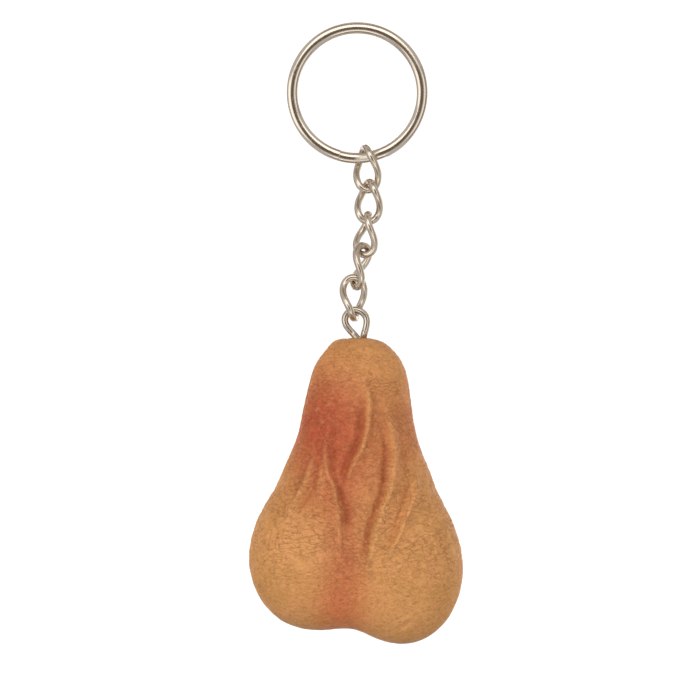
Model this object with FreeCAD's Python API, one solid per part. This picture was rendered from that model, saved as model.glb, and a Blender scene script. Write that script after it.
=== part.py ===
import FreeCAD, Part
import math
import os

# A key ring with a short chain and a soft rubber fob, hanging straight down.
# Millimetres, +Z up, front of the object toward -Y, origin at the ring's centre.

# Split ring: one wire of flattened, oval section wound twice, stepping from back to front once
RING_OUTER_D = 25.0
RING_WIRE_W = 1.9
RING_WIRE_T = 1.0
RING_COIL_GAP = 0.04
RING_END_ROUND = 0.12
# Angles along the wire in degrees, counted from the bottom of the ring
RING_START = 25.0
RING_STEP_START = 350.0
RING_STEP_END = 386.0
RING_END = 704.5

# Chain links: round wire bent to an oval and twisted about its long axis
LINK_WIRE_R = 0.63
LINK_HALF_W = 2.06
LINK_FULLNESS = 0.2
LINK_SEAM_GAP = 0.08
LINK_TWIST = 76.0
# name, centre of the top bend, centre of the bottom bend, yaw at mid height,
# and the place of the butt seam as an angle around the oval
LINKS = [
    ("chain_link_1", (1.39, -0.06, -9.70), (2.03, 0.06, -17.27), -33.0, 259.0),
    ("chain_link_2", (2.15, -0.08, -15.75), (1.99, 0.02, -22.84), -29.0, 284.0),
    ("chain_link_3", (1.93, 0.00, -21.44), (1.29, 0.00, -28.75), -57.0, 262.0),
    ("chain_link_4", (1.21, 0.00, -27.12), (-0.15, -0.15, -34.49), -99.0, 281.0),
    ("chain_link_5", (-0.68, 0.13, -32.72), (-0.52, 0.03, -40.04), -144.0, 258.0),
]

# Eye pin: one wire bent to a loop, its two legs crossing inside the rubber
EYE_WIRE_R = 0.62
EYE_LOOP = [
    (-0.46, -0.13, -43.02),
    (-1.27, 0.0, -42.14),
    (-2.02, 0.0, -41.05),
    (-2.16, 0.0, -40.0),
    (-1.58, 0.0, -38.98),
    (-0.25, 0.0, -38.5),
    (0.95, 0.0, -39.0),
    (1.66, 0.0, -40.1),
    (1.64, 0.0, -41.3),
    (1.43, 0.0, -42.2),
    (1.19, 0.13, -43.02),
]
EYE_LEFT_LEG = (0.60, -0.40, -0.75)
EYE_RIGHT_LEG = (-0.20, 0.40, -0.88)
EYE_LEG = 5.9
EYE_POCKET_GAP = 0.01

# Rubber fob: five ellipsoids blended into one body
# centre x, y, z then half sizes in x, y, z
FOB_BLOBS = [
    (0.5, 0.0, -49.7, 6.6, 5.2, 5.7),
    (0.0, 0.0, -57.6, 7.7, 6.8, 7.9),
    (-0.1, 0.0, -70.7, 12.1, 9.0, 12.4),
    (-8.0, 0.0, -82.8, 11.0, 10.8, 12.2),
    (8.1, 0.0, -84.7, 10.5, 10.6, 12.9),
]
FOB_BLEND = 2.8
FOB_HEART = (0.0, 0.0, -72.0)
# spans along each side of the six patches that make the skin
FOB_SPANS = 9


def spline_wire(points):
    curve = Part.BSplineCurve()
    curve.interpolate([FreeCAD.Vector(*p) for p in points])
    return Part.Wire([curve.toShape()])


def round_wire_solid(points, radius):
    path = spline_wire(points)
    start = path.Edges[0].valueAt(path.Edges[0].FirstParameter)
    along = path.Edges[0].tangentAt(path.Edges[0].FirstParameter)
    circle = Part.Wire([Part.makeCircle(radius, start, along)])
    return path.makePipeShell([circle], True, False)


def ring_point(angle):
    radius = (RING_OUTER_D - RING_WIRE_W) / 2
    step = (angle - RING_STEP_START) / (RING_STEP_END - RING_STEP_START)
    step = min(max(step, 0.0), 1.0)
    step = step * step * (3 - 2 * step)
    depth = (RING_WIRE_T + RING_COIL_GAP) / 2 * (1 - 2 * step)
    turn = math.radians(angle)
    return (radius * math.sin(turn), depth, -radius * math.cos(turn))


def ring_section():
    turn = math.radians(RING_START)
    out = FreeCAD.Vector(math.sin(turn), 0, -math.cos(turn))
    back = FreeCAD.Vector(0, 1, 0)
    centre = FreeCAD.Vector(*ring_point(RING_START))
    wide = centre + out * (RING_WIRE_W / 2)
    deep = centre + back * (RING_WIRE_T / 2)
    return Part.Wire([Part.Ellipse(wide, deep, centre).toShape()])


def split_ring():
    count = 100
    span = RING_END - RING_START
    path = spline_wire([ring_point(RING_START + span * i / count) for i in range(count + 1)])
    sweep = Part.BRepOffsetAPI.MakePipeShell(path)
    sweep.setBiNormalMode(FreeCAD.Vector(0, 1, 0))
    sweep.add(ring_section(), False, False)
    sweep.build()
    sweep.makeSolid()
    wire = sweep.shape().Solids[0]
    ends = [face for face in wire.Faces if face.Surface.TypeId == "Part::GeomPlane"]
    return wire.makeFillet(RING_END_ROUND, [face.Edges[0] for face in ends])


def link_point(angle, top, bottom, yaw):
    height = math.sin(angle)
    across = LINK_HALF_W * math.cos(angle) * (1 + LINK_FULLNESS * height * height)
    twist = math.radians(yaw - LINK_TWIST / 2 * math.sin(math.pi / 2 * height))
    share = (1 - height) / 2
    axis = (FreeCAD.Vector(*top) - FreeCAD.Vector(*bottom)).normalize()
    sideways = FreeCAD.Vector(0, 1, 0).cross(axis).normalize()
    backward = axis.cross(sideways)
    spine = FreeCAD.Vector(*top) * (1 - share) + FreeCAD.Vector(*bottom) * share
    return spine + sideways * (across * math.cos(twist)) + backward * (across * math.sin(twist))


def chain_link(top, bottom, yaw, seam):
    count = 28
    gap = LINK_SEAM_GAP / LINK_HALF_W
    start = math.radians(seam) + gap / 2
    span = 2 * math.pi - gap
    points = [link_point(start + span * i / count, top, bottom, yaw) for i in range(count + 1)]
    return round_wire_solid(points, LINK_WIRE_R)


def eye_pin(radius):
    left_way = FreeCAD.Vector(*EYE_LEFT_LEG).normalize()
    right_way = FreeCAD.Vector(*EYE_RIGHT_LEG).normalize()
    points = [FreeCAD.Vector(*p) for p in EYE_LOOP]
    left_end = points[0] + left_way * EYE_LEG
    right_end = points[-1] + right_way * EYE_LEG
    loop = Part.BSplineCurve()
    loop.interpolate(Points=points, InitialTangent=left_way * -1, FinalTangent=right_way)
    path = Part.Wire([
        Part.makeLine(left_end, points[0]),
        loop.toShape(),
        Part.makeLine(points[-1], right_end),
    ])
    circle = Part.Wire([Part.makeCircle(radius, left_end, left_way)])
    return path.makePipeShell([circle], True, False)


def fob_field(x, y, z):
    total = 0.0
    for cx, cy, cz, rx, ry, rz in FOB_BLOBS:
        reach = math.sqrt(((x - cx) / rx) ** 2 + ((y - cy) / ry) ** 2 + ((z - cz) / rz) ** 2)
        total += math.exp(-(reach - 1) * min(rx, ry, rz) / FOB_BLEND)
    return -FOB_BLEND * math.log(total)


def fob_point(direction):
    heart = FreeCAD.Vector(*FOB_HEART)
    outward = FreeCAD.Vector(direction).normalize()
    near = 0.0
    far = 60.0
    for _ in range(44):
        middle = (near + far) / 2
        here = heart + outward * middle
        if fob_field(here.x, here.y, here.z) < 0:
            near = middle
        else:
            far = middle
    return heart + outward * middle


def curve_through(points):
    last = len(points) - 1
    curve = Part.BSplineCurve()
    curve.interpolate(Points=points, Parameters=[i / last for i in range(last + 1)])
    return curve


def skin_patch(outward, across, along):
    steps = [math.tan(math.pi / 4 * (2 * i / FOB_SPANS - 1)) for i in range(FOB_SPANS + 1)]
    rows = []
    for i in steps:
        points = [fob_point(outward + across * i + along * j) for j in steps]
        rows.append(curve_through(points).getPoles())
    columns = [curve_through([row[j] for row in rows]) for j in range(len(rows[0]))]
    poles = [column.getPoles() for column in columns]
    net = [[column[i] for column in poles] for i in range(len(poles[0]))]
    mults = columns[0].getMultiplicities()
    knots = columns[0].getKnots()
    surface = Part.BSplineSurface()
    surface.buildFromPolesMultsKnots(net, mults, mults, knots, knots, False, False, 3, 3)
    return surface.toShape()


def fob_skin():
    x = FreeCAD.Vector(1, 0, 0)
    y = FreeCAD.Vector(0, 1, 0)
    z = FreeCAD.Vector(0, 0, 1)
    skin = Part.makeShell([
        skin_patch(x, y, z),
        skin_patch(x * -1, z, y),
        skin_patch(y, z, x),
        skin_patch(y * -1, x, z),
        skin_patch(z, x, y),
        skin_patch(z * -1, y, x),
    ])
    skin.sewShape()
    return skin


def rubber_fob():
    body = Part.Solid(fob_skin())
    if body.Volume < 0:
        body.reverse()
    return body.cut(eye_pin(EYE_WIRE_R + EYE_POCKET_GAP))


def main():
    os.makedirs("parts", exist_ok=True)
    split_ring().exportStep("parts/split_ring.step")
    for name, top, bottom, yaw, seam in LINKS:
        chain_link(top, bottom, yaw, seam).exportStep("parts/" + name + ".step")
    eye_pin(EYE_WIRE_R).exportStep("parts/eye_pin.step")
    rubber_fob().exportStep("parts/rubber_fob.step")


main()
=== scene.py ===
import bpy
import math
import numpy as np
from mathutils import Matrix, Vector, noise


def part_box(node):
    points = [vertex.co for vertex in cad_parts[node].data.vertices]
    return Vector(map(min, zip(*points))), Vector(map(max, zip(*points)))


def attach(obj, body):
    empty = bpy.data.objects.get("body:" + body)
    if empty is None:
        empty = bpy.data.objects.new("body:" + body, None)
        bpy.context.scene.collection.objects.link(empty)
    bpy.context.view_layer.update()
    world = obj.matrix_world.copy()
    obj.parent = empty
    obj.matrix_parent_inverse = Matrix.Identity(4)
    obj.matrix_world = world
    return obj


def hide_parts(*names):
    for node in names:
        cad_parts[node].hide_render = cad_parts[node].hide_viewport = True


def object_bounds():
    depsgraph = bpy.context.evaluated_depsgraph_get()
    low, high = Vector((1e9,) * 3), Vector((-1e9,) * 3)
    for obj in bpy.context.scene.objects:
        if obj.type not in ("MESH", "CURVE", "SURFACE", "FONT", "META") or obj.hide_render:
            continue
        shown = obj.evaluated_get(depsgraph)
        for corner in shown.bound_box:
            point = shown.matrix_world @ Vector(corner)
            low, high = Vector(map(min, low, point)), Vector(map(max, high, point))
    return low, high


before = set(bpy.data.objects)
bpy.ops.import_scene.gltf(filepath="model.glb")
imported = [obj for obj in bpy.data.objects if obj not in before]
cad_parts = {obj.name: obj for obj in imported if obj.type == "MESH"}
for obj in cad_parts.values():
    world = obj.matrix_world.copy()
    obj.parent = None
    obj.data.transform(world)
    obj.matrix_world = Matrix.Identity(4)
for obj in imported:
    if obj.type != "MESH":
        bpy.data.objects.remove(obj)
cad_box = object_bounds()

# a key ring with a twisted chain and a soft rubber fob, hanging straight down, front toward -Y
MM = 0.001
METAL = [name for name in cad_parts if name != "rubber_fob"]


# ---------------------------------------------------------------- small helpers
def add_object(name, data):
    obj = bpy.data.objects.new(name, data)
    bpy.context.scene.collection.objects.link(obj)
    return obj


def aim(obj, target):
    obj.rotation_euler = (Vector(target) - obj.location).to_track_quat("-Z", "Y").to_euler()


def smooth(mesh):
    for polygon in mesh.polygons:
        polygon.use_smooth = True


def linear(r, g, b):
    """sRGB 0..255 to a linear colour."""
    out = []
    for v in (r, g, b):
        v /= 255.0
        out.append(v / 12.92 if v <= 0.04045 else ((v + 0.055) / 1.055) ** 2.4)
    return (*out, 1.0)


# ---------------------------------------------------------------- camera
# level and square to the front; VIEW_WIDTH is how much the picture spans at the object
VIEW_X = -1.28 * MM
VIEW_Z = -45.65 * MM
VIEW_WIDTH = 124.3 * MM
VIEW_DISTANCE = 0.45
SENSOR_WIDTH = 36.0


def add_camera():
    camera = add_object("camera", bpy.data.cameras.new("camera"))
    bpy.context.scene.camera = camera
    camera.data.sensor_width = SENSOR_WIDTH
    camera.data.lens = SENSOR_WIDTH * VIEW_DISTANCE / VIEW_WIDTH
    camera.data.clip_start = 0.01
    camera.location = (VIEW_X, -VIEW_DISTANCE, VIEW_Z)
    aim(camera, (VIEW_X, 0.0, VIEW_Z))


add_camera()


# ---------------------------------------------------------------- node helpers
class Tree:
    """Builds a node tree with short calls."""

    def __init__(self, tree):
        self.tree = tree
        tree.nodes.clear()

    def add(self, kind, **values):
        node = self.tree.nodes.new(kind)
        for key, value in values.items():
            setattr(node, key, value)
        return node

    def link(self, source, target):
        self.tree.links.new(source, target)

    def put(self, node, socket, value):
        target = node.inputs[socket]
        if isinstance(value, bpy.types.NodeSocket):
            self.link(value, target)
        else:
            target.default_value = value

    def math(self, operation, a, b, clamp=False):
        node = self.add("ShaderNodeMath", operation=operation, use_clamp=clamp)
        self.put(node, 0, a)
        self.put(node, 1, b)
        return node.outputs[0]

    def plus(self, a, b, clamp=False):
        return self.math("ADD", a, b, clamp)

    def minus(self, a, b, clamp=False):
        return self.math("SUBTRACT", a, b, clamp)

    def times(self, a, b, clamp=False):
        return self.math("MULTIPLY", a, b, clamp)

    def ramp(self, value, low, high, to_low=0.0, to_high=1.0):
        node = self.add("ShaderNodeMapRange", interpolation_type="SMOOTHSTEP")
        for socket, number in enumerate((value, low, high, to_low, to_high)):
            self.put(node, socket, number)
        return node.outputs[0]

    def mix(self, share, a, b):
        node = self.add("ShaderNodeMix", data_type="RGBA")
        self.put(node, 0, share)
        self.put(node, 6, a)
        self.put(node, 7, b)
        return node.outputs[2]

    def over(self, base, share, colour):
        """Lays a colour, as sRGB 0..255, over a base."""
        return self.mix(share, base, linear(*colour))

    def scaled(self, vector, scale):
        node = self.add("ShaderNodeVectorMath", operation="MULTIPLY")
        self.put(node, 0, vector)
        self.put(node, 1, scale)
        return node.outputs[0]

    def here(self):
        return self.add("ShaderNodeTexCoord").outputs["Object"]

    def noise(self, vector, scale, detail=2.0, rough=0.5):
        node = self.add("ShaderNodeTexNoise")
        self.put(node, "Vector", vector)
        self.put(node, "Scale", scale)
        self.put(node, "Detail", detail)
        self.put(node, "Roughness", rough)
        return node.outputs[0]

    def bump(self, height, strength, distance):
        node = self.add("ShaderNodeBump")
        node.inputs["Strength"].default_value = strength
        node.inputs["Distance"].default_value = distance
        self.put(node, "Height", height)
        return node.outputs[0]

    def attribute(self, name):
        return self.add("ShaderNodeAttribute", attribute_name=name).outputs["Fac"]


def new_material(name):
    material = bpy.data.materials.new(name)
    material.use_nodes = True
    t = Tree(material.node_tree)
    shader = t.add("ShaderNodeBsdfPrincipled")
    output = t.add("ShaderNodeOutputMaterial")
    t.link(shader.outputs[0], output.inputs[0])
    return material, t, shader


# ---------------------------------------------------------------- metal
# how each metal piece differs: its colour, and how dull it is
LINK_FINISH = ((219, 206, 190), 0.09)
FINISHES = {
    "split_ring": ((220, 208, 193), 0.07),
    "eye_pin": ((212, 200, 185), 0.09),
}


def nickel(name, tint, dull, seed):
    """Bright nickel plate: a warm metal with faint haze, fine scuffs and a little grime."""
    material, t, shader = new_material(name)
    # each piece takes its own part of the pattern
    shifted = t.add("ShaderNodeVectorMath", operation="ADD")
    t.put(shifted, 0, t.here())
    t.put(shifted, 1, (seed * 0.013, seed * 0.007, seed * 0.011))
    place = shifted.outputs[0]
    haze = t.noise(place, 420.0, 4.0, 0.6)
    fine = t.noise(place, 2600.0, 3.0, 0.6)
    grime = t.ramp(t.noise(place, 160.0, 3.0, 0.55), 0.52, 0.74)
    t.put(shader, "Base Color", t.over(linear(*tint), t.times(grime, 0.35), (158, 141, 122)))
    shader.inputs["Metallic"].default_value = 1.0
    rough = t.plus(t.times(haze, 0.10), dull)
    rough = t.plus(rough, t.times(t.ramp(fine, 0.5, 0.7), 0.05))
    rough = t.plus(rough, t.times(grime, 0.08))
    t.put(shader, "Roughness", rough)
    t.put(shader, "Normal", t.bump(t.plus(t.times(fine, 0.3), haze), 0.05, 0.02 * MM))
    return material


def plate_metal():
    for seed, name in enumerate(METAL):
        tint, dull = FINISHES.get(name, LINK_FINISH)
        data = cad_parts[name].data
        data.materials.clear()
        data.materials.append(nickel("nickel_" + name, tint, dull, seed))


# ---------------------------------------------------------------- rubber
def fine_wrinkles(t, here, area):
    """Two nets of thin lines, wider than tall, broken up so that they come and go."""
    warp = t.add("ShaderNodeTexNoise")
    t.put(warp, "Vector", here)
    t.put(warp, "Scale", 380.0)
    t.put(warp, "Detail", 2.0)
    bent = t.add("ShaderNodeVectorMath", operation="MULTIPLY_ADD")
    t.put(bent, 0, warp.outputs["Color"])
    t.put(bent, 1, (2.6 * MM, 2.6 * MM, 2.6 * MM))
    t.put(bent, 2, here)

    def net(scale, squat, thin, low, high, patch):
        cells = t.add("ShaderNodeTexVoronoi", feature="DISTANCE_TO_EDGE")
        t.put(cells, "Vector", t.scaled(bent.outputs[0], (1.0, 1.0, squat)))
        t.put(cells, "Scale", scale)
        mark = t.ramp(cells.outputs["Distance"], 0.0, thin, 1.0, 0.0)
        shown = t.ramp(t.noise(here, patch), low, high)
        return t.times(t.times(mark, shown), area)

    wide = net(470.0, 3.1, 0.085, 0.34, 0.52, 230.0)
    fine = net(1150.0, 2.1, 0.10, 0.40, 0.62, 420.0)
    return t.plus(wide, t.times(fine, 0.55), clamp=True)


def pores(t, here):
    """Small round pits, in patches."""
    cells = t.add("ShaderNodeTexVoronoi", feature="F1")
    t.put(cells, "Vector", here)
    t.put(cells, "Scale", 560.0)
    pit = t.ramp(cells.outputs["Distance"], 0.05, 0.13, 1.0, 0.0)
    return t.times(pit, t.ramp(t.noise(here, 300.0, 1.0), 0.48, 0.6))


def soft_rubber():
    """Matt ochre rubber: airbrushed red and brown, a net of fine wrinkles, pores, with painted shade in
    creases, wrinkles and pores and painted highlight on crests.
    """
    material, t, shader = new_material("soft_rubber_painted")
    here = t.here()
    blush = t.attribute("blush")
    crease = t.attribute("crease")
    ridge = t.attribute("ridge")
    broad = t.noise(here, 130.0, 3.0, 0.55)
    mottle = t.noise(here, 700.0, 4.0, 0.62)
    speckle = t.noise(here, 2600.0, 4.0, 0.7)
    grain = t.noise(t.scaled(here, (1.0, 1.0, 1.5)), 1500.0, 3.0, 0.65)
    blot = t.noise(here, 1900.0, 3.0, 0.7)
    line = fine_wrinkles(t, here, t.attribute("net_area"))
    pit = pores(t, here)

    # ochre rubber with greener and pinker clouds
    base = t.mix(t.ramp(broad, 0.34, 0.66), linear(196, 139, 77), linear(207, 147, 87))
    base = t.over(base, t.times(t.ramp(mottle, 0.5, 0.72), 0.42), (182, 131, 68))
    base = t.over(base, t.times(t.ramp(mottle, 0.5, 0.3), 0.35), (209, 141, 90))
    # sprayed red, uneven, thinner on the crests as part of their painted highlight, lighter and more orange
    # at the bottom, partly the spray's own tone and partly painted light
    uneven = t.plus(t.times(t.plus(mottle, broad), 0.5), 0.52)
    # painted highlight: less red on the crests makes them paler
    red = t.minus(t.times(blush, uneven), t.times(ridge, 0.16), clamp=True)
    axes = t.add("ShaderNodeSeparateXYZ")
    t.put(axes, 0, here)
    # partly painted light: the red turns lighter towards the bottom lobes, on top of its own more orange
    # tone there
    bottom_tone_and_light = t.ramp(axes.outputs[2], -91.0 * MM, -80.0 * MM, 1.0, 0.0)
    base = t.mix(red, base, t.mix(bottom_tone_and_light, linear(176, 77, 44), linear(206, 96, 54)))
    # red-brown wash lying in the creases, partly the rubber's own paint and partly painted shade, and paler
    # crests, a painted highlight
    # partly painted shade: the creases are darkened red-brown
    crease_wash_and_shade = t.times(t.math("POWER", crease, 1.5), t.plus(mottle, 0.35))
    base = t.over(base, t.times(crease_wash_and_shade, 0.88, clamp=True), (154, 66, 34))
    # painted highlight: the crests are made paler
    base = t.over(base, t.times(ridge, 0.30), (214, 152, 96))
    # dark and pale specks, the pale ones fewer in the red, and dark spots only there
    base = t.over(base, t.times(t.ramp(speckle, 0.52, 0.70), 0.40), (140, 84, 46))
    base = t.over(base, t.times(t.ramp(grain, 0.5, 0.66), 0.36), (146, 88, 48))
    pale = t.times(t.ramp(grain, 0.48, 0.34), t.minus(0.24, t.times(red, 0.12)))
    base = t.over(base, pale, (226, 168, 116))
    spots = t.times(t.ramp(blot, 0.5, 0.62), red)
    base = t.over(base, t.times(spots, 0.42), (132, 52, 34))
    # painted shade: darker colour in the wrinkles and pores
    base = t.over(base, t.times(line, 0.46), (132, 74, 40))
    base = t.over(base, t.times(pit, 0.5), (122, 74, 42))
    t.put(shader, "Base Color", base)
    t.put(shader, "Roughness", t.plus(0.5, t.times(mottle, 0.22)))
    shader.inputs["Specular IOR Level"].default_value = 0.3

    height = t.plus(t.times(speckle, 0.5), t.times(mottle, 0.9))
    for mark, depth in ((grain, 0.9), (line, 0.8), (pit, 0.9)):
        height = t.minus(height, t.times(mark, depth))
    t.put(shader, "Normal", t.bump(height, 0.5, 0.22 * MM))
    return material


# noise_vector is seeded from the clock unless it is told otherwise
noise.seed_set(3)


# ---------------------------------------------------------------- fob form, in millimetres
# the smooth body: ellipsoids, centre then half sizes
BLOBS = np.array([
    (0.5, 0.0, -49.7, 6.6, 5.2, 5.7),
    (0.0, 0.0, -57.6, 7.7, 6.8, 7.9),
    (-0.1, 0.0, -70.7, 12.1, 9.0, 12.4),
    (-8.0, 0.0, -82.8, 11.0, 10.8, 12.2),
    (8.1, 0.0, -84.7, 10.5, 10.6, 12.9),
])
BLEND = 2.8
HEART = np.array([0.0, 0.0, -72.0])
# an even mesh of the body starts from a coarse grid of this many spans a side
START_SPANS = 48
WELD_GAP = 0.001
MESH_STEP = 0.27


def field(points):
    """Below 0 inside the smooth body, 0 on it, above 0 outside."""
    total = 0.0
    for blob in BLOBS:
        reach = np.sqrt((((points - blob[:3]) / blob[3:]) ** 2).sum(-1))
        total = total + np.exp(-(reach - 1.0) * blob[3:].min() / BLEND)
    return -BLEND * np.log(total)


def slope(points):
    step = 0.02
    out = np.zeros_like(points)
    for k in range(3):
        shift = np.zeros(3)
        shift[k] = step
        out[:, k] = (field(points + shift) - field(points - shift)) / (2 * step)
    return out


def on_skin(points):
    """Moves points onto the smooth body, and gives their normals."""
    for _ in range(4):
        grad = slope(points)
        points = points - grad * (field(points) / (grad ** 2).sum(1))[:, None]
    grad = slope(points)
    return points, grad / np.linalg.norm(grad, axis=1)[:, None]


def ball_grid(count):
    """Points and quads of a cube-shaped grid pushed out to a ball."""
    steps = np.tan(np.linspace(-1, 1, count + 1) * math.pi / 4)
    a, b = (grid.ravel() for grid in np.meshgrid(steps, steps, indexing="ij"))
    one = np.ones(a.size)
    sides = [(one, a, b), (-one, b, a), (b, one, a), (a, -one, b), (a, b, one), (b, a, -one)]
    points = np.concatenate([np.stack(side, 1) for side in sides])
    quads = []
    row = count + 1
    for side in range(len(sides)):
        for i in range(count):
            for j in range(count):
                k = side * row * row + i * row + j
                quads.append((k, k + row, k + row + 1, k + 1))
    return points / np.linalg.norm(points, axis=1)[:, None], quads


def even_mesh():
    """A closed mesh of the smooth body with faces of one size, in millimetres."""
    rays, quads = ball_grid(START_SPANS)
    near = np.zeros(len(rays))
    far = np.full(len(rays), 60.0)
    for _ in range(36):
        middle = (near + far) / 2
        inside = field(HEART + rays * middle[:, None]) < 0
        near = np.where(inside, middle, near)
        far = np.where(inside, far, middle)
    points = HEART + rays * middle[:, None]
    mesh = bpy.data.meshes.new("fob_start")
    mesh.from_pydata([tuple(p) for p in points], [], quads)
    start = add_object("fob_start", mesh)
    weld = start.modifiers.new("weld", "WELD")
    weld.merge_threshold = WELD_GAP
    remesh = start.modifiers.new("even", "REMESH")
    remesh.mode = "VOXEL"
    remesh.voxel_size = MESH_STEP
    graph = bpy.context.evaluated_depsgraph_get()
    even = bpy.data.meshes.new_from_object(start.evaluated_get(graph), depsgraph=graph)
    bpy.data.objects.remove(start)
    return even


# ---------------------------------------------------------------- fob relief
# which paint mask each kind of line adds to, and how strongly; the crease mask is partly the rubber's own
# wash and partly painted shade, the ridge mask a painted highlight; a valley is only a shape
PAINT = {"crease": ("crease", 1.0), "fold": ("crease", 0.45), "ridge": ("ridge", 1.0)}
# lines of relief: kind, height in mm, width in mm, fade at the ends, then points (x, z) in mm
FRONT_LINES = [
    ("valley", -0.30, 1.7, 0.3, [(0.2, -52.0), (0.2, -58.0), (-1.6, -64.0), (-2.6, -69.0)]),
    ("valley", -0.26, 1.3, 0.3, [(3.6, -50.5), (3.7, -55.5), (3.4, -60.0), (2.6, -64.0)]),
    ("valley", -0.32, 1.6, 0.3, [(4.2, -58.0), (4.8, -64.0), (3.9, -71.0), (1.8, -78.0), (1.0, -84.0)]),
    ("valley", -0.40, 1.8, 0.3, [(-3.2, -66.0), (-1.6, -72.0), (-0.8, -79.0), (-0.2, -86.0)]),
    ("valley", -0.22, 2.6, 0.4, [(0.4, -80.0), (0.1, -87.0), (-0.5, -93.0), (-1.2, -99.0)]),
    ("ridge", 0.74, 0.60, 0.25, [(1.2, -49.6), (1.7, -52.6), (2.1, -55.7), (1.9, -59.2), (0.9, -62.6),
                                (-0.5, -65.0), (-1.5, -67.3), (-2.1, -69.6)]),
    ("crease", -0.60, 0.62, 0.25, [(0.6, -51.6), (0.9, -55.8), (0.6, -59.2), (-0.4, -62.4),
                                   (-1.6, -65.0), (-2.5, -68.2), (-2.2, -71.6)]),
    ("crease", -0.66, 0.60, 0.25, [(3.7, -55.4), (4.6, -59.4), (5.1, -62.6), (5.0, -66.0), (4.8, -68.5),
                                   (4.2, -70.9), (3.2, -73.5), (2.5, -75.6), (1.9, -77.8),
                                   (1.4, -79.8), (0.9, -82.4), (0.6, -85.4)]),
    ("ridge", 0.72, 0.74, 0.22, [(4.6, -53.4), (5.5, -57.0), (6.2, -60.2), (6.5, -63.4), (6.5, -66.1),
                                 (6.1, -68.7), (5.4, -71.2), (4.5, -73.8), (3.6, -76.3),
                                 (2.8, -78.8), (2.1, -81.4), (1.6, -84.2), (1.0, -87.4)]),
    ("ridge", 0.66, 0.52, 0.36, [(-5.0, -56.0), (-5.3, -60.0), (-5.6, -63.6), (-5.1, -66.8), (-4.1, -69.6),
                                 (-3.4, -72.6), (-3.0, -76.2), (-2.9, -80.4), (-3.1, -87.0)]),
    ("crease", -0.48, 0.58, 0.25, [(-4.3, -57.0), (-4.5, -61.0), (-4.6, -64.4), (-4.1, -67.0),
                                   (-3.1, -69.6), (-2.4, -71.8), (-1.8, -74.2), (-1.5, -77.0),
                                   (-1.4, -80.6)]),
    ("ridge", 0.80, 0.54, 0.22, [(-7.6, -63.0), (-8.0, -65.8), (-8.7, -68.2), (-9.9, -70.6),
                                 (-11.2, -73.0), (-12.3, -75.8)]),
    ("fold", -0.52, 0.60, 0.3, [(-6.9, -64.4), (-7.2, -67.0), (-8.1, -69.6), (-9.5, -72.0),
                                (-10.9, -74.6)]),
    ("fold", -0.26, 0.60, 0.3, [(-9.0, -63.6), (-9.4, -66.4), (-10.3, -68.8), (-11.5, -71.0)]),
    ("ridge", 0.30, 0.60, 0.35, [(-6.5, -64.6), (-6.4, -68.0), (-7.0, -70.6)]),
    ("ridge", 0.82, 0.56, 0.22, [(10.7, -66.0), (10.3, -68.8), (9.8, -71.4), (9.0, -73.6), (8.1, -75.7),
                                 (7.3, -77.6), (6.2, -79.7), (4.9, -82.0), (3.4, -84.8)]),
    ("fold", -0.50, 0.85, 0.3, [(9.4, -66.6), (9.1, -69.6), (8.4, -72.4), (7.4, -75.0), (6.4, -77.2),
                                (5.2, -79.4), (4.0, -81.8)]),
    ("fold", -0.20, 0.50, 0.3, [(7.9, -62.0), (8.6, -65.4), (8.5, -68.4)]),
    ("ridge", 0.26, 0.90, 0.35, [(10.2, -56.0), (11.0, -60.0), (11.9, -64.6)]),
    ("valley", -0.20, 0.40, 0.3, [(5.4, -95.0), (7.2, -94.6), (8.8, -93.4), (10.4, -91.6)]),
    ("valley", -0.14, 0.34, 0.3, [(6.4, -93.0), (7.8, -92.4), (9.4, -91.0)]),
    ("valley", -0.12, 0.30, 0.3, [(-2.6, -48.8), (-1.0, -49.6), (0.8, -49.2)]),
    ("valley", -0.12, 0.30, 0.3, [(-5.0, -53.9), (-3.9, -54.7), (-2.8, -53.7)]),
]
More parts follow.
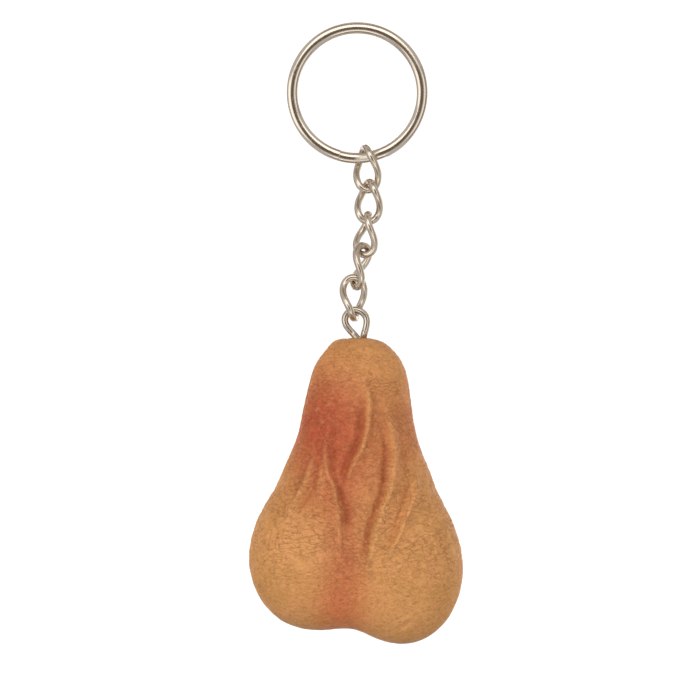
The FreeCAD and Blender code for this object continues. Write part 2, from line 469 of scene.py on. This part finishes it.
BACK_LINES = [
    ("valley", -0.34, 1.7, 0.3, [(-0.4, -52.0), (-0.4, -58.0), (1.0, -64.0), (1.2, -70.0)]),
    ("valley", -0.34, 1.6, 0.3, [(-4.6, -58.0), (-5.4, -64.0), (-4.4, -71.0), (-2.0, -78.0),
                                 (-0.8, -84.0)]),
    ("valley", -0.50, 2.6, 0.4, [(-0.2, -80.0), (0.1, -87.0), (-0.3, -93.0), (-1.2, -99.0)]),
    ("ridge", 0.60, 0.70, 0.3, [(-2.0, -49.6), (-2.6, -54.4), (-2.3, -58.0), (-1.3, -61.6), (-0.4, -65.6),
                                (-0.6, -70.4)]),
    ("crease", -0.55, 0.70, 0.3, [(-0.9, -51.4), (-1.2, -56.4), (-0.4, -60.4), (0.6, -64.4), (0.7, -68.8),
                                  (0.2, -74.0)]),
    ("crease", -0.68, 0.64, 0.3, [(-4.4, -56.6), (-5.3, -61.2), (-5.0, -66.0), (-3.8, -70.6), (-2.4, -75.0),
                                  (-1.0, -81.0)]),
    ("ridge", 0.60, 0.84, 0.3, [(-5.5, -55.0), (-6.5, -61.2), (-6.2, -66.6), (-5.0, -71.4), (-3.6, -76.0),
                                (-2.0, -82.0)]),
    ("ridge", 0.58, 0.64, 0.3, [(4.7, -56.0), (5.3, -61.4), (4.9, -66.0), (4.0, -70.6), (3.1, -75.0),
                                (2.5, -81.4)]),
    ("crease", -0.48, 0.60, 0.3, [(3.7, -57.4), (4.1, -62.8), (3.7, -67.4), (2.8, -72.0), (1.9, -76.6),
                                  (1.2, -82.0)]),
    ("ridge", 0.54, 0.62, 0.3, [(7.6, -61.6), (8.5, -66.4), (9.9, -70.6), (11.9, -75.2)]),
    ("crease", -0.44, 0.56, 0.3, [(6.8, -63.4), (7.6, -68.2), (9.0, -72.2), (10.9, -76.4)]),
    ("ridge", 0.50, 0.60, 0.3, [(-10.4, -64.4), (-10.2, -69.8), (-9.0, -74.6), (-7.4, -79.6)]),
    ("crease", -0.42, 0.58, 0.3, [(-9.4, -66.0), (-9.1, -71.0), (-7.8, -75.4), (-6.4, -80.0)]),
    ("ridge", 0.26, 0.90, 0.35, [(10.2, -57.0), (11.2, -61.0), (12.3, -65.6)]),
]
# airbrushed red: centre x, z, half sizes, strength
FRONT_BLUSH = [
    (-7.4, -59.2, 5.8, 9.6, 0.98),
    (-2.6, -60.5, 3.8, 7.5, 0.62),
    (1.0, -58.8, 9.5, 9.0, 0.40),
    (9.6, -59.0, 2.4, 5.0, 0.34),
    (4.0, -66.0, 5.0, 9.5, 0.26),
    (-2.4, -74.0, 3.4, 13.0, 0.50),
    (-3.0, -91.0, 4.2, 7.0, 0.60),
    (-1.6, -83.0, 3.4, 5.0, 0.30),
    (-6.6, -71.0, 4.6, 5.0, 0.24),
]
BACK_BLUSH = [
    (6.0, -58.0, 5.0, 8.0, 0.74),
    (1.6, -58.0, 3.8, 7.0, 0.40),
    (-1.0, -58.5, 9.5, 8.0, 0.34),
    (-9.6, -60.0, 2.6, 5.0, 0.30),
    (1.0, -74.0, 3.8, 13.0, 0.42),
    (1.4, -92.0, 4.0, 6.0, 0.52),
]
# broad bumps at the two shoulders: centre x, y, z, then radius and height
SHOULDERS = [
    (-3.6, 0.0, -44.4, 1.9, 0.60),
    (4.6, 0.0, -44.6, 1.6, 0.20),
]
# pale raised specks: x, z, radius, height, how pale
FRONT_SPECKS = [
    (-5.0, -55.1, 0.36, 0.16, 0.9),
    (-7.0, -56.1, 0.40, 0.16, 0.9),
    (-6.1, -58.1, 0.34, 0.14, 0.8),
    (-9.6, -62.7, 0.36, 0.15, 0.9),
    (-3.4, -57.0, 0.34, 0.12, 0.6),
    (-8.0, -59.4, 0.32, 0.12, 0.6),
]
BACK_SPECKS = [
    (6.4, -56.4, 0.36, 0.15, 0.8),
    (8.2, -60.2, 0.36, 0.15, 0.8),
    (4.2, -59.0, 0.34, 0.13, 0.7),
]
SIDES = (
    (-1, FRONT_LINES, FRONT_BLUSH, FRONT_SPECKS),
    (1, BACK_LINES, BACK_BLUSH, BACK_SPECKS),
)
# how far a drawn line wavers, and how quickly
WAVER = 0.28
WAVER_SCALE = 0.35
LINE_POINTS = 70
# depth of the net of wrinkles, and height of the swells and pebbles under it
NET_DEPTH = 0.11
SWELL_HEIGHT = 0.10
PEBBLE_HEIGHT = 0.07


def eased(value):
    """0 up to 0, 1 from 1 on, and a smooth rise between."""
    value = np.clip(value, 0, 1)
    return value * value * (3 - 2 * value)


def smooth_line(points):
    """A Catmull-Rom line through the given points."""
    p = np.array(points, float)
    p = np.vstack([2 * p[0] - p[1], p, 2 * p[-1] - p[-2]])
    out = []
    spans = len(p) - 3
    for s in np.linspace(0, spans - 1e-6, LINE_POINTS):
        i = int(s)
        t = s - i
        a, b, c, d = p[i:i + 4]
        out.append(0.5 * (2 * b + (c - a) * t + (2 * a - 5 * b + 4 * c - d) * t * t
                          + (3 * b - a - 3 * c + d) * t ** 3))
    return np.array(out)


def stroke(flat, points, width, fade):
    """How strongly each point feels a line drawn on the fob: 1 on it, 0 away from it.

    The line swells in its middle and thins out towards both ends."""
    line = smooth_line(points)
    best = np.full(len(flat), 1e9)
    where = np.zeros(len(flat))
    for k, p in enumerate(line):
        d = ((flat - p) ** 2).sum(1)
        closer = d < best
        best[closer] = d[closer]
        where[closer] = k / (len(line) - 1)
    ends = eased(np.minimum(where, 1 - where) / fade)
    return np.exp(-best / (width * (0.6 + 0.4 * ends)) ** 2) * ends


def relief(points, normals):
    """Height to add along each normal, and the paint masks, for the fob's skin."""
    flat = points[:, [0, 2]]
    waver = np.array([tuple(noise.noise_vector(Vector(p) * WAVER_SCALE)) for p in points])
    drawn = flat + waver[:, :2] * WAVER
    height = np.zeros(len(points))
    masks = {"crease": np.zeros(len(points)), "ridge": np.zeros(len(points))}
    clear = np.ones(len(points))
    for side, lines, reds, specks in SIDES:
        # lines fade out where the skin turns away to the side
        facing = eased((normals[:, 1] * side - 0.05) / 0.4)
        for kind, tall, wide, fade, course in lines:
            mark = stroke(drawn, course, wide, fade) * facing
            height += tall * mark
            if kind in PAINT:
                mask, strength = PAINT[kind]
                masks[mask] = np.maximum(masks[mask], mark * strength)
        # the red sprayed on one side reaches a little way round to the other
        reach = np.clip((points[:, 1] * side + 3.5) / 7.0, 0, 1)
        for x, z, rx, rz, strength in reds:
            spot = np.exp(-((flat[:, 0] - x) / rx) ** 2 - ((flat[:, 1] - z) / rz) ** 2)
            clear *= 1 - strength * spot * reach
        for x, z, radius, tall, pale in specks:
            spot = np.exp(-((flat - (x, z)) ** 2).sum(1) / radius ** 2) * (points[:, 1] * side > 0)
            height += tall * spot
            masks["ridge"] = np.maximum(masks["ridge"], pale * spot)
    masks["blush"] = 1 - clear
    for x, y, z, radius, tall in SHOULDERS:
        height += tall * np.exp(-((points - (x, y, z)) ** 2).sum(1) / radius ** 2)
    return height, masks


def wrinkles(points):
    """A net of shallow folds, wider than tall, strongest round the middle of the fob."""
    z = points[:, 2]
    middle = np.exp(-((z + 76.0) / 9.5) ** 2)
    upper = 0.75 * np.exp(-((z + 54.0) / 12.0) ** 2)
    area = np.clip(middle + upper + 0.16, 0, 1)
    net = np.zeros(len(points))
    swell = np.zeros(len(points))
    pebble = np.zeros(len(points))
    for i, p in enumerate(points):
        v = Vector(p)
        bend = noise.noise_vector(v * 0.22) * 1.6
        w = Vector((v.x + bend.x, v.y + bend.y, (v.z + bend.z) * 2.1)) * 0.42
        d = noise.voronoi(w)[0]
        net[i] = max(0.0, 1.0 - (d[1] - d[0]) / 0.2)
        swell[i] = noise.fractal(v * 0.16, 1.0, 2.0, 3)
        pebble[i] = noise.noise(v * 0.85)
    return area, net, swell, pebble


def build_fob(material):
    mesh = even_mesh()
    flat = np.empty(len(mesh.vertices) * 3)
    mesh.vertices.foreach_get("co", flat)
    points, normals = on_skin(flat.reshape(-1, 3))
    height, masks = relief(points, normals)
    area, net, swell, pebble = wrinkles(points)
    height += SWELL_HEIGHT * swell - NET_DEPTH * net * area
    height += PEBBLE_HEIGHT * pebble * (0.4 + 0.6 * area)
    low, high = (np.array(corner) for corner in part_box("rubber_fob"))
    moved = np.clip((points + normals * height[:, None]) * MM, low, high)
    mesh.vertices.foreach_set("co", moved.ravel())
    masks["net_area"] = area
    for name, values in masks.items():
        layer = mesh.attributes.new(name, "FLOAT", "POINT")
        layer.data.foreach_set("value", values.astype(np.float32))
    smooth(mesh)
    mesh.name = "rubber_fob_skin"
    mesh.materials.clear()
    mesh.materials.append(material)
    mesh.update()
    piece = add_object("rubber_fob_skin", mesh)
    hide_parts("rubber_fob")
    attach(piece, "fob")


build_fob(soft_rubber())
plate_metal()


# ---------------------------------------------------------------- floor and light
CENTRE = (0.0, 0.0, -0.05)
# the floor lies well below, so that it doesn't hide the object from a camera that looks up
FLOOR_Z = cad_box[0][2] - 0.5
TENT_RADIUS = 1.5
TENT_BEND = 0.5
TENT_BEND_STEPS = 12
TENT_SPANS = 96
CARD_ROWS = 12
CARD_COLUMNS = 24
WARM_WHITE = (1.0, 0.985, 0.965)
BROWN = (1.0, 0.80, 0.62)
# name, lowest and highest angle up, left and right angle round, glow, colour
CARDS = [
    ("card_above", 19.0, 42.0, -24.0, 24.0, 1.85, WARM_WHITE),
    ("card_below", -42.0, -24.0, -22.0, 22.0, 1.40, WARM_WHITE),
    ("card_left", -14.0, 20.0, -58.0, -22.0, 1.50, WARM_WHITE),
    ("card_right", -14.0, 20.0, 26.0, 44.0, 1.20, WARM_WHITE),
    ("card_dark", -12.0, 17.0, -17.0, 16.0, 0.15, BROWN),
    ("card_dark_right", -30.0, 30.0, 48.0, 74.0, 0.32, BROWN),
    ("card_dark_above", 52.0, 72.0, -60.0, 60.0, 0.34, BROWN),
    ("card_dark_below", -74.0, -50.0, -60.0, 60.0, 0.26, BROWN),
]
# name, place, width, height, power
LAMPS = [
    ("key", (-0.44, -0.42, 0.06), 0.24, 0.34, 2.0),
    ("fill", (0.30, -0.46, -0.02), 0.24, 0.40, 1.32),
    ("back_left", (-0.36, 0.46, 0.04), 0.24, 0.40, 1.7),
    ("back_right", (0.42, 0.40, 0.02), 0.24, 0.40, 1.3),
]


def stage_mesh(name, points, faces, material):
    mesh = bpy.data.meshes.new(name)
    mesh.from_pydata(points, [], faces)
    smooth(mesh)
    mesh.materials.append(material)
    piece = add_object(name, mesh)
    return piece


def turned(profile, count):
    """Points and faces of a profile of (radius, height) turned about the z axis."""
    points = []
    faces = []
    for i in range(count + 1):
        turn = 2 * math.pi * i / count
        points += [(r * math.sin(turn), r * math.cos(turn), z) for r, z in profile]
    rows = len(profile)
    for i in range(count):
        for j in range(rows - 1):
            k = i * rows + j
            faces.append((k, k + rows, k + rows + 1, k + 1))
    return points, faces


def tent():
    """Pale floor that curves up into walls all round: what the camera sees behind the object."""
    edge = TENT_RADIUS - TENT_BEND
    profile = [(0.0, 0.0), (0.3, 0.0), (0.6, 0.0), (edge, 0.0)]
    for i in range(1, TENT_BEND_STEPS + 1):
        turn = i / TENT_BEND_STEPS * math.pi / 2
        profile.append((edge + TENT_BEND * math.sin(turn), TENT_BEND - TENT_BEND * math.cos(turn)))
    profile += [(TENT_RADIUS, 1.1), (TENT_RADIUS * 0.6, 1.7), (0.0, 1.8)]
    points, faces = turned([(r, z + FLOOR_Z) for r, z in profile], TENT_SPANS)
    material, t, shader = new_material("pale_floor")
    grain = t.noise(t.here(), 6.0)
    t.put(shader, "Base Color", t.mix(grain, (0.22, 0.22, 0.22, 1), (0.26, 0.26, 0.26, 1)))
    shader.inputs["Roughness"].default_value = 0.9
    shader.inputs["Specular IOR Level"].default_value = 0.1
    shader.inputs["Emission Color"].default_value = (1, 1, 1, 1)
    shader.inputs["Emission Strength"].default_value = 0.96
    piece = stage_mesh("tent", points, faces, material)
    piece.visible_diffuse = False
    piece.visible_glossy = False
    piece.visible_shadow = False


def card(name, low, high, left, right, glow, tint, radius=0.5):
    """A card on a ball round the object that only gloss mirrors; angles in degrees from the front."""
    points = []
    faces = []
    for i in range(CARD_ROWS + 1):
        up = math.radians(low + (high - low) * i / CARD_ROWS)
        for j in range(CARD_COLUMNS + 1):
            turn = math.radians(left + (right - left) * j / CARD_COLUMNS)
            points.append((CENTRE[0] + radius * math.cos(up) * math.sin(turn),
                           CENTRE[1] - radius * math.cos(up) * math.cos(turn),
                           CENTRE[2] + radius * math.sin(up)))
    for i in range(CARD_ROWS):
        for j in range(CARD_COLUMNS):
            k = i * (CARD_COLUMNS + 1) + j
            faces.append((k, k + 1, k + CARD_COLUMNS + 2, k + CARD_COLUMNS + 1))
    material, t, shader = new_material(name)
    shader.inputs["Base Color"].default_value = (0, 0, 0, 1)
    shader.inputs["Specular IOR Level"].default_value = 0.0
    shader.inputs["Emission Color"].default_value = (*(glow * c for c in tint), 1)
    shader.inputs["Emission Strength"].default_value = 1.0
    piece = stage_mesh(name, points, faces, material)
    piece.visible_camera = False
    piece.visible_diffuse = False
    piece.visible_shadow = False
    piece.visible_transmission = False


def soft_room():
    """Light from all round, very nearly even."""
    world = bpy.data.worlds.new("soft_room")
    bpy.context.scene.world = world
    world.use_nodes = True
    t = Tree(world.node_tree)
    output = t.add("ShaderNodeOutputWorld")
    glow = t.add("ShaderNodeBackground")
    axes = t.add("ShaderNodeSeparateXYZ")
    t.put(axes, 0, t.add("ShaderNodeTexCoord").outputs["Generated"])
    t.put(glow, 0, (*WARM_WHITE, 1.0))
    t.put(glow, 1, t.ramp(axes.outputs[2], -1.0, 1.0, 0.52, 0.50))
    t.link(glow.outputs[0], output.inputs[0])


def softbox(name, place, width, height, power):
    data = bpy.data.lights.new(name, "AREA")
    data.shape = "RECTANGLE"
    data.size = width
    data.size_y = height
    data.energy = power
    data.color = WARM_WHITE
    lamp = add_object(name, data)
    lamp.location = place
    lamp.visible_camera = False
    lamp.visible_glossy = False
    aim(lamp, CENTRE)


tent()
card("card_room", -89.0, 89.0, -180.0, 180.0, 0.60, WARM_WHITE, 0.8)
# the same bright and dark cards stand in front of the object and behind it
for side, middle in (("front", 0.0), ("back", 180.0)):
    for name, low, high, left, right, glow, tint in CARDS:
        card(name + "_" + side, low, high, middle + left, middle + right, glow, tint)
for lamp in LAMPS:
    softbox(*lamp)
soft_room()
bpy.context.scene.view_settings.view_transform = "Standard"
